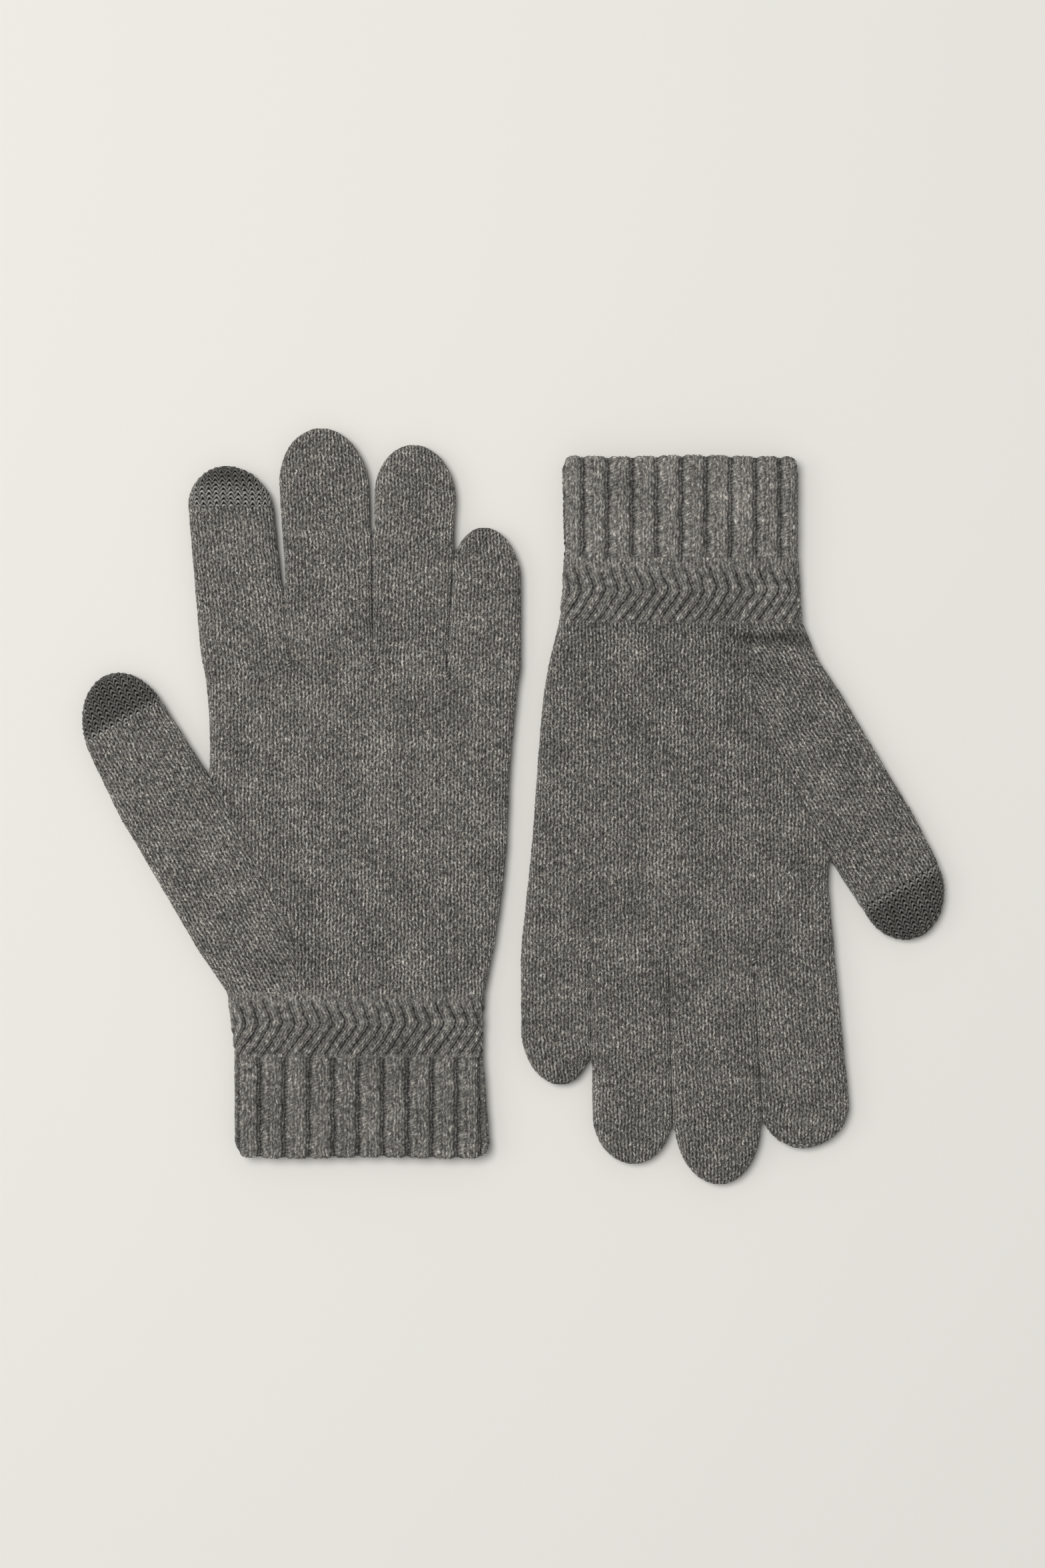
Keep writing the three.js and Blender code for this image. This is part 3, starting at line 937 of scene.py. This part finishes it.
def add_piece(name, points, quads, stitch_corners, slot, normals=None):
    """A mesh piece in the pair's frame. Its corners keep their place in the fabric and their change of
    tone as the attribute stitch."""
    used = np.unique(quads)
    places = np.zeros(len(points), np.int64)
    places[used] = np.arange(len(used))
    quads = places[quads]
    mesh = bpy.data.meshes.new(name)
    mesh.vertices.add(len(used))
    mesh.vertices.foreach_set("co", points[used].astype(np.float32).ravel())
    mesh.loops.add(quads.size)
    mesh.loops.foreach_set("vertex_index", quads.astype(np.int32).ravel())
    mesh.polygons.add(len(quads))
    mesh.polygons.foreach_set("loop_start", np.arange(0, quads.size, 4, dtype=np.int32))
    mesh.polygons.foreach_set("use_smooth", np.ones(len(quads), bool))
    mesh.update(calc_edges=True)
    if normals is not None:
        mesh.normals_split_custom_set_from_vertices(normals[used])
    attribute = mesh.attributes.new("stitch", "FLOAT_VECTOR", "CORNER")
    attribute.data.foreach_set("vector", stitch_corners.astype(np.float32).ravel())
    mesh.materials.append(MATERIALS[slot])
    piece = bpy.data.objects.new(name, mesh)
    bpy.context.scene.collection.objects.link(piece)
    return piece


def uneven(x, y):
    """The same places with the small unevenness of real stitches."""
    return (
        x + 0.16 * np.sin(y * 0.5 + 2.1 * np.sin(x * 0.15)) + 0.1 * np.sin(y * 1.4 + x * 0.8),
        y + 0.2 * np.sin(x * 0.3 + 1.7 * np.sin(y * 0.17)) + 0.12 * np.sin(x * 1.1 - y * 0.8),
    )


class Fabric:
    """A grid with its places in the knitting and its relief, ready to be divided into pieces."""

    def __init__(self, grid, x, y, slots, change=None):
        """slots and change, the change of tone, are the same for all points or given for each."""
        self.grid = grid
        self.x, self.y = uneven(x, y)
        self.change = grid.painted_shade() if change is None else change
        shift = np.zeros(grid.points.shape[:2])
        slots = np.broadcast_to(slots, shift.shape)
        for slot in np.unique(slots):
            pattern, relief = PATTERNS[slot]
            here = slots == slot
            shift[here] = (pattern(self.x[here], self.y[here]) - 1.0) * relief
        # Where the two sheets end apart, pressed against a neighbour, the edge stays in place.
        last = grid.columns - 1
        for upper_end, lower_end in ((0, -1), (last, last + 1)):
            wall = grid.points[:, upper_end, 2] - grid.points[:, lower_end, 2]
            free = smooth_step(0.9, 0.3, wall)
            shift[:, upper_end] *= free
            shift[:, lower_end] *= free
        # A fingertip's last rows shrink to a point.
        width = np.linalg.norm(grid.points[:, last] - grid.points[:, 0], axis=1)
        at_point = smooth_step(4.0, 1.0, width)[:, None]
        calm = np.maximum(grid.glove.at_joins(grid.points), at_point)
        shift = shift * (1.0 - calm) - CALM_DEPTH * calm
        rough = grid.points + outward_from(grid.points) * shift[..., None]
        self.world = grid.glove.plan.to_world(rough)
        self.normals = outward_from(self.world)

    def piece(self, name, slot, keep=None):
        """The part of the fabric where keep, given for each face, is true."""
        rows, columns = self.world.shape[:2]
        ids = np.arange(rows * columns).reshape(rows, columns)
        beside = np.roll(np.arange(columns), -1)
        # The two narrow strips that join the sheets take their pattern from one side.
        pattern_beside = beside.copy()
        pattern_beside[[self.grid.columns - 1, -1]] = self.grid.columns - 1, columns - 1

        def corners(values, neighbour):
            return np.stack([values[:-1], values[:-1][:, neighbour],
                             values[1:][:, neighbour], values[1:]], axis=-1)

        keep = np.ones((rows - 1, columns), bool) if keep is None else keep
        stitch = np.stack([corners(values, pattern_beside)[keep]
                           for values in (self.x, self.y, self.change)], axis=-1)
        return add_piece(name, self.world.reshape(-1, 3), corners(ids, beside)[keep], stitch, slot,
                         self.normals.reshape(-1, 3))


def attach(piece, bodies, node, turn=None):
    """Stands the piece for its CAD node, on one body; a piece between two bodies stays fixed where it is.
    """
    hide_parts(node)
    if len(bodies) == 1:
        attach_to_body(piece, bodies[0])
    else:
        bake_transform(piece)


def turning(name, plan, length):
    """Start and end of the stretch over which fabric turns about a joint."""
    start = np.array(joint(name)["pos_m"])
    step = np.array([*plan.axes[1], 0.0]) * length * MM
    return tuple(start), tuple(start + step)


def face_rows(grid, first, last):
    rows, columns = grid.points.shape[:2]
    in_rows = np.arange(rows - 1)[:, None]
    return np.broadcast_to((in_rows >= first) & (in_rows < last), (rows - 1, columns))


def cap_starts(glove, name, plan):
    """How far along the plan frame a cap begins, on the lower and on the upper face. Where it only just
    turns over onto the upper face, it begins nearer to the tip there."""
    points = cad_mesh(glove.node(f"{name}_touch_cap"))[0]
    y = plan.from_world(points)[:, 1]
    z = points[:, 2]
    below, above_face = y[z < z.min() + 0.5 * MM].min(), y[z > z.max() - 0.5 * MM].min()
    turned_over = TURNED_OVER if above_face > below + TURNED_OVER else 0.0
    return below, above_face + turned_over


def make_finger(glove, name):
    """A finger or the thumb, from the hand to its tip, divided at the knuckle and at its cap."""
    is_thumb = name == "thumb"
    plan = glove.thumb_plan if is_thumb else glove.plan
    outline = glove.chains[0 if is_thumb else 1 + FINGERS.index(name)]
    if is_thumb:
        outline = glove.into_thumb(outline)
    tip = int(outline[:, 1].argmax())
    left_line = keep_rising(outline[:tip + 1])
    right_line = keep_rising(outline[tip:][::-1])
    if is_thumb:
        left_line = left_line[left_line[:, 1] > -2.0]
    low = -JOIN_OVERLAP if is_thumb else min(glove.web_y)
    y, way = finger_rows(low - EXTRA_ROWS * SPACING, outline[tip, 1])
    starts, ends = points_at(left_line, y), points_at(right_line, y)
    middle = (starts[:, 0] + ends[:, 0]) / 2
    if is_thumb:
        starts, ends = glove.out_of_thumb(starts), glove.out_of_thumb(ends)
    grid = Grid(glove, starts, ends)

    local = glove.into_thumb(grid.points) if is_thumb else grid.points
    extra = grid.extra.copy()
    if not is_thumb:
        # Over the hand the fabric is flat, except at the glove's two sides.
        inner = {"index": extra > 0, "little": extra < 0}.get(name, np.ones(extra.shape, bool))
        extra = np.where(inner, extra * smooth_step(0.0, 8.0, y - low)[:, None], extra)
    pattern_x = local[..., 0] - middle[:, None] + extra + (0.0 if is_thumb else middle[0])
    pattern_start = 0.0 if is_thumb else glove.band_middle
    pattern_y = np.broadcast_to((way - pattern_start)[:, None], pattern_x.shape)
    change = grid.painted_shade()
    room = TURN_LENGTH
    in_cap = np.zeros(pattern_x.shape, bool)
    if name in CAPPED:
        cap_node = glove.node(f"{name}_touch_cap")
        below, above_face = cap_starts(glove, name, plan)
        rise = np.clip(grid.points[..., 2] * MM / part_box(cap_node)[1].z, 0.0, 1.0)
        border = below + (above_face - below) * smooth_step(0.1, 0.9, rise)
        in_cap = y[:, None] > border
        pattern_x = np.where(in_cap, pattern_x * glove.turn, pattern_x)
        pattern_y = np.where(in_cap, pattern_y * glove.turn, pattern_y)
        fade = CAP_FADE[name]
        change = np.where(in_cap, 1.0 - smooth_step(fade[0], fade[1], y[:, None] - border), change)
        room = min(room, min(below, above_face) - glove.knuckle_y[name] - 0.5)
    slots = np.where(in_cap, "touch_knit", "wool_jersey")
    fabric = Fabric(grid, pattern_x, pattern_y, slots, change)

    knuckle_row = int(np.abs(y - glove.knuckle_y[name]).argmin())
    bodies = [glove.node(body) for body in ("hand_body", f"{name}_lower_body", f"{name}_upper_body")]
    lower = fabric.piece(glove.node(f"{name}_lower_knit"), "wool_jersey",
                         face_rows(grid, EXTRA_ROWS, knuckle_row))
    lower_room = min(TURN_LENGTH, glove.knuckle_y[name] - glove.root_y[name] - 1.0)
    attach(lower, bodies[:2], glove.node(f"{name}_lower"),
           turning(glove.node(f"{name}_root"), plan, lower_room))
    upper_faces = face_rows(grid, knuckle_row, len(y) - 1)
    cap_faces = in_cap[:-1]
    upper = fabric.piece(glove.node(f"{name}_upper_knit"), "wool_jersey", upper_faces & ~cap_faces)
    attach(upper, bodies[1:], glove.node(f"{name}_upper"),
           turning(glove.node(f"{name}_knuckle"), plan, room))
    if name in CAPPED:
        cap = fabric.piece(glove.node(f"{name}_cap_knit"), "touch_knit", upper_faces & cap_faces)
        attach(cap, bodies[2:], cap_node)


def make_hand(glove):
    top = min(glove.web_y)
    steps = int(round((top - glove.band_top) / SPACING))
    y = glove.band_top + (top - glove.band_top) / steps * np.arange(-1, steps + 1 + EXTRA_ROWS)
    index_left = keep_rising(glove.chains[1][:glove.chains[1][:, 1].argmax() + 1])
    left = np.where(y < glove.crotch[1], x_at(glove.join, y) - JOIN_OVERLAP, x_at(index_left, y))
    grid = Grid(glove, np.stack([left, y], axis=1), points_at(glove.little_side, y))
    pattern_x = grid.points[..., 0] + grid.extra
    pattern_y = np.broadcast_to((y - glove.band_middle)[:, None], pattern_x.shape)
    fabric = Fabric(grid, pattern_x, pattern_y, "wool_jersey")
    piece = fabric.piece(glove.node("hand_knit"), "wool_jersey", face_rows(grid, 0, steps + 1))
    attach(piece, [glove.node("hand_body")], glove.node("hand"))


def make_gusset(glove):
    """The gusset's rows turn from the band's edge to the thumb's root crease."""
    outer = glove.chains[0]
    corner = int(np.linalg.norm(outer - glove.outer_corner, axis=1).argmin())
    first = int(np.abs(outer[:corner, 1] - glove.band_top + JOIN_OVERLAP).argmin())
    outside = outer[first:corner + 1]
    count = count_for(glove.join, SPACING)
    starts, ends = evenly(outside, count), evenly(glove.join, count)
    past_crease = glove.out_of_thumb(glove.into_thumb(starts[-1:]) * [1.0, 0.0])[0]
    starts += (past_crease - starts[-1]) * np.linspace(0.0, 1.0, count)[:, None] ** 8
    ends[:, 0] += JOIN_OVERLAP
    grid = Grid(glove, starts, ends)
    local = glove.into_thumb(grid.points)
    pattern_x = local[..., 0] + np.minimum(grid.extra, 0.0)
    fabric = Fabric(grid, pattern_x, local[..., 1], "wool_jersey")
    piece = fabric.piece(glove.node("gusset_knit"), "wool_jersey")
    attach(piece, [glove.node("hand_body")], glove.node("thumb_gusset"))


def wrist_grid(glove, y):
    past_band = int(np.argmax(glove.chains[0][:, 1] > glove.band_top + 3))
    left_line = keep_rising(glove.chains[0][:past_band])
    return Grid(glove, points_at(left_line, y), points_at(glove.little_side, y))


def make_band(glove):
    rows = int(round((glove.band_top + 2 * JOIN_OVERLAP) / SPACING)) + 1
    y = np.linspace(-JOIN_OVERLAP, glove.band_top + JOIN_OVERLAP, rows)
    grid = wrist_grid(glove, y)
    pattern_x = (grid.points[..., 0] + grid.extra) * glove.turn
    pattern_y = np.broadcast_to((y - glove.band_middle)[:, None], pattern_x.shape) * glove.turn
    fabric = Fabric(grid, pattern_x, pattern_y, "wool_chevron")
    piece = fabric.piece(glove.node("band_knit"), "wool_chevron")
    attach(piece, [glove.node("hand_body")], glove.node("chevron_band"))


def hem_rise(glove, points):
    """How far a hem's rounded corners and slow waves move the rows of the cuff towards the fold."""
    x, y = points[..., 0], points[..., 1]
    left, right = x.min(axis=1, keepdims=True), x.max(axis=1, keepdims=True)
    from_side = np.minimum(x - left, right - x)
    corner = HEM_CORNER * (1.0 - quarter_round(from_side / HEM_CORNER))
    wave = HEM_WAVE * (1.0 + np.sin(x / 8.0 + glove.turn))
    return (corner + wave) * smooth_step(glove.hem_y + 9.0, glove.hem_y, y)


def make_cuff(glove):
    """The cuff's lining from the fold down to the hem, round the hem, and the outside back up."""
    lip = CUFF_LAYER / 2
    rows = int(round((JOIN_OVERLAP - glove.hem_y - lip) / SPACING)) + 1
    y = np.linspace(glove.hem_y + lip, JOIN_OVERLAP, rows)
    grid = wrist_grid(glove, y)
    outside = grid.points
    outside[..., 1] += hem_rise(glove, outside)
    lining = outside - outward_from(outside) * CUFF_LAYER
    turns = np.linspace(0.0, math.pi, 12)[1:-1, None, None]
    centre = (outside[0] + lining[0]) / 2
    arm = (lining[0] - outside[0]) / 2
    hem = centre + arm * np.cos(turns) + np.array([0.0, -lip, 0.0]) * np.sin(turns)
    grid.points = np.concatenate([lining[::-1], hem, outside])
    round_hem = np.repeat(grid.extra[:1], len(hem), axis=0)
    grid.extra = np.concatenate([grid.extra[::-1], round_hem, grid.extra])
    pattern_y = np.concatenate([2 * y[0] - y[::-1], y[0] + lip * (turns[:, 0, 0] - math.pi), y])
    pattern_y = np.broadcast_to(pattern_y[:, None], grid.extra.shape) * glove.turn
    pattern_x = (grid.points[..., 0] + grid.extra) * glove.turn
    fabric = Fabric(grid, pattern_x, pattern_y, "wool_rib")
    piece = fabric.piece(glove.node("cuff_knit"), "wool_rib")
    attach(piece, [glove.node("hand_body"), glove.node("cuff_body")], glove.node("rib_cuff"),
           turning(glove.node("cuff_fold"), glove.plan, -TURN_LENGTH))


def strand(path, radius):
    """A round strand of yarn along a path of points."""
    around = 12
    turns = np.linspace(0.0, 2 * math.pi, around, endpoint=False)
    rings = [middle + np.stack([0 * turns, radius * np.cos(turns), radius * np.sin(turns)], axis=1)
             for middle in path]
    ids = np.arange(len(path) * around).reshape(len(path), around)
    beside = np.roll(ids, -1, axis=1)
    quads = np.stack([ids[:-1], beside[:-1], beside[1:], ids[1:]], axis=-1).reshape(-1, 4)
    return np.concatenate(rings), quads


def make_closing_stitches(glove):
    """Three turns of yarn that close the foot of each gap between two fingers."""
    for first, second in zip(FINGERS, FINGERS[1:]):
        node = glove.node(f"{first}_{second}_closing_stitch")
        low, high = (np.array(corner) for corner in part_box(node))
        centre, half = (low + high) / 2, (high - low) / 2
        radius = half[1] * STRAND_RADIUS
        share = np.linspace(-1.0, 1.0, 21)
        points, quads = [], []
        for place in (-1, 0, 1):
            path = np.stack([
                centre[0] + share * half[0],
                centre[1] + half[1] * (place * TURN_STEP + share * TURN_LEAN),
                high[2] - radius - half[2] * TURN_SINK * share ** 4,
            ], axis=1)
            ring_points, ring_quads = strand(path, radius)
            quads.append(ring_quads + sum(len(part) for part in points))
            points.append(ring_points)
        points, quads = np.concatenate(points), np.concatenate(quads)
        stitch = (points[quads] - centre) / MM
        # The third value is the change of tone, the same painted shade as the hand's.
        stitch[..., 2] = PAINTED_WOOL_SHADE[glove.side][0]
        piece = add_piece(glove.node(f"{first}_{second}_closing_yarn"), points, quads, stitch,
                          "closing_yarn")
        attach(piece, [glove.node("hand_body")], node)


for side in ("left", "right"):
    glove = Glove(side)
    make_cuff(glove)
    make_band(glove)
    make_hand(glove)
    make_gusset(glove)
    for finger_name in ("thumb", *FINGERS):
        make_finger(glove, finger_name)
    make_closing_stitches(glove)

# ---- stage, lights and camera

# What the camera sees at mid height of the gloves, in metres: the picture's length, the place in its
# middle, and that height. The lens and the sensor are in millimetres.
FIELD_HEIGHT = 0.536
FIELD_CENTRE = (0.00315, 0.00764)
MID_HEIGHT = 0.004
LENS = 85.0
SENSOR = 36.0


def make_stage():
    bpy.ops.mesh.primitive_plane_add(size=6.0, location=(0, 0, -0.0002))
    floor = bpy.context.object
    floor.name = "studio_floor"
    material = bpy.data.materials.new("studio_floor")
    material.use_nodes = True
    set_inputs(material.node_tree.nodes["Principled BSDF"],
               {"Base Color": (0.757, 0.735, 0.693, 1), "Roughness": 0.9})
    floor.data.materials.append(material)


def add_lamp(name, size, power, place):
    """A round soft light that faces the gloves."""
    light = bpy.data.lights.new(name, "AREA")
    light.shape = "DISK"
    light.size = size
    light.energy = power
    lamp = bpy.data.objects.new(name, light)
    lamp.location = place
    lamp.rotation_mode = "QUATERNION"
    lamp.rotation_quaternion = (-Vector(place)).to_track_quat("-Z", "Y")
    bpy.context.scene.collection.objects.link(lamp)


def make_lights():
    world = bpy.data.worlds.new("studio")
    bpy.context.scene.world = world
    world.use_nodes = True
    set_inputs(world.node_tree.nodes["Background"], {"Color": (1, 1, 1, 1), "Strength": 0.385})
    add_lamp("key", 1.2, 39.5, (-0.6, 0.4, 2.3))
    add_lamp("side", 1.2, 4.2, (-1.5, 0.1, 1.3))


def make_camera():
    data = bpy.data.cameras.new("camera")
    data.lens = LENS
    data.sensor_width = SENSOR
    camera = bpy.data.objects.new("camera", data)
    camera.location = (*FIELD_CENTRE, MID_HEIGHT + FIELD_HEIGHT * LENS / SENSOR)
    bpy.context.scene.collection.objects.link(camera)
    bpy.context.scene.camera = camera


make_stage()
make_lights()
make_camera()
bpy.context.scene.view_settings.view_transform = "Standard"
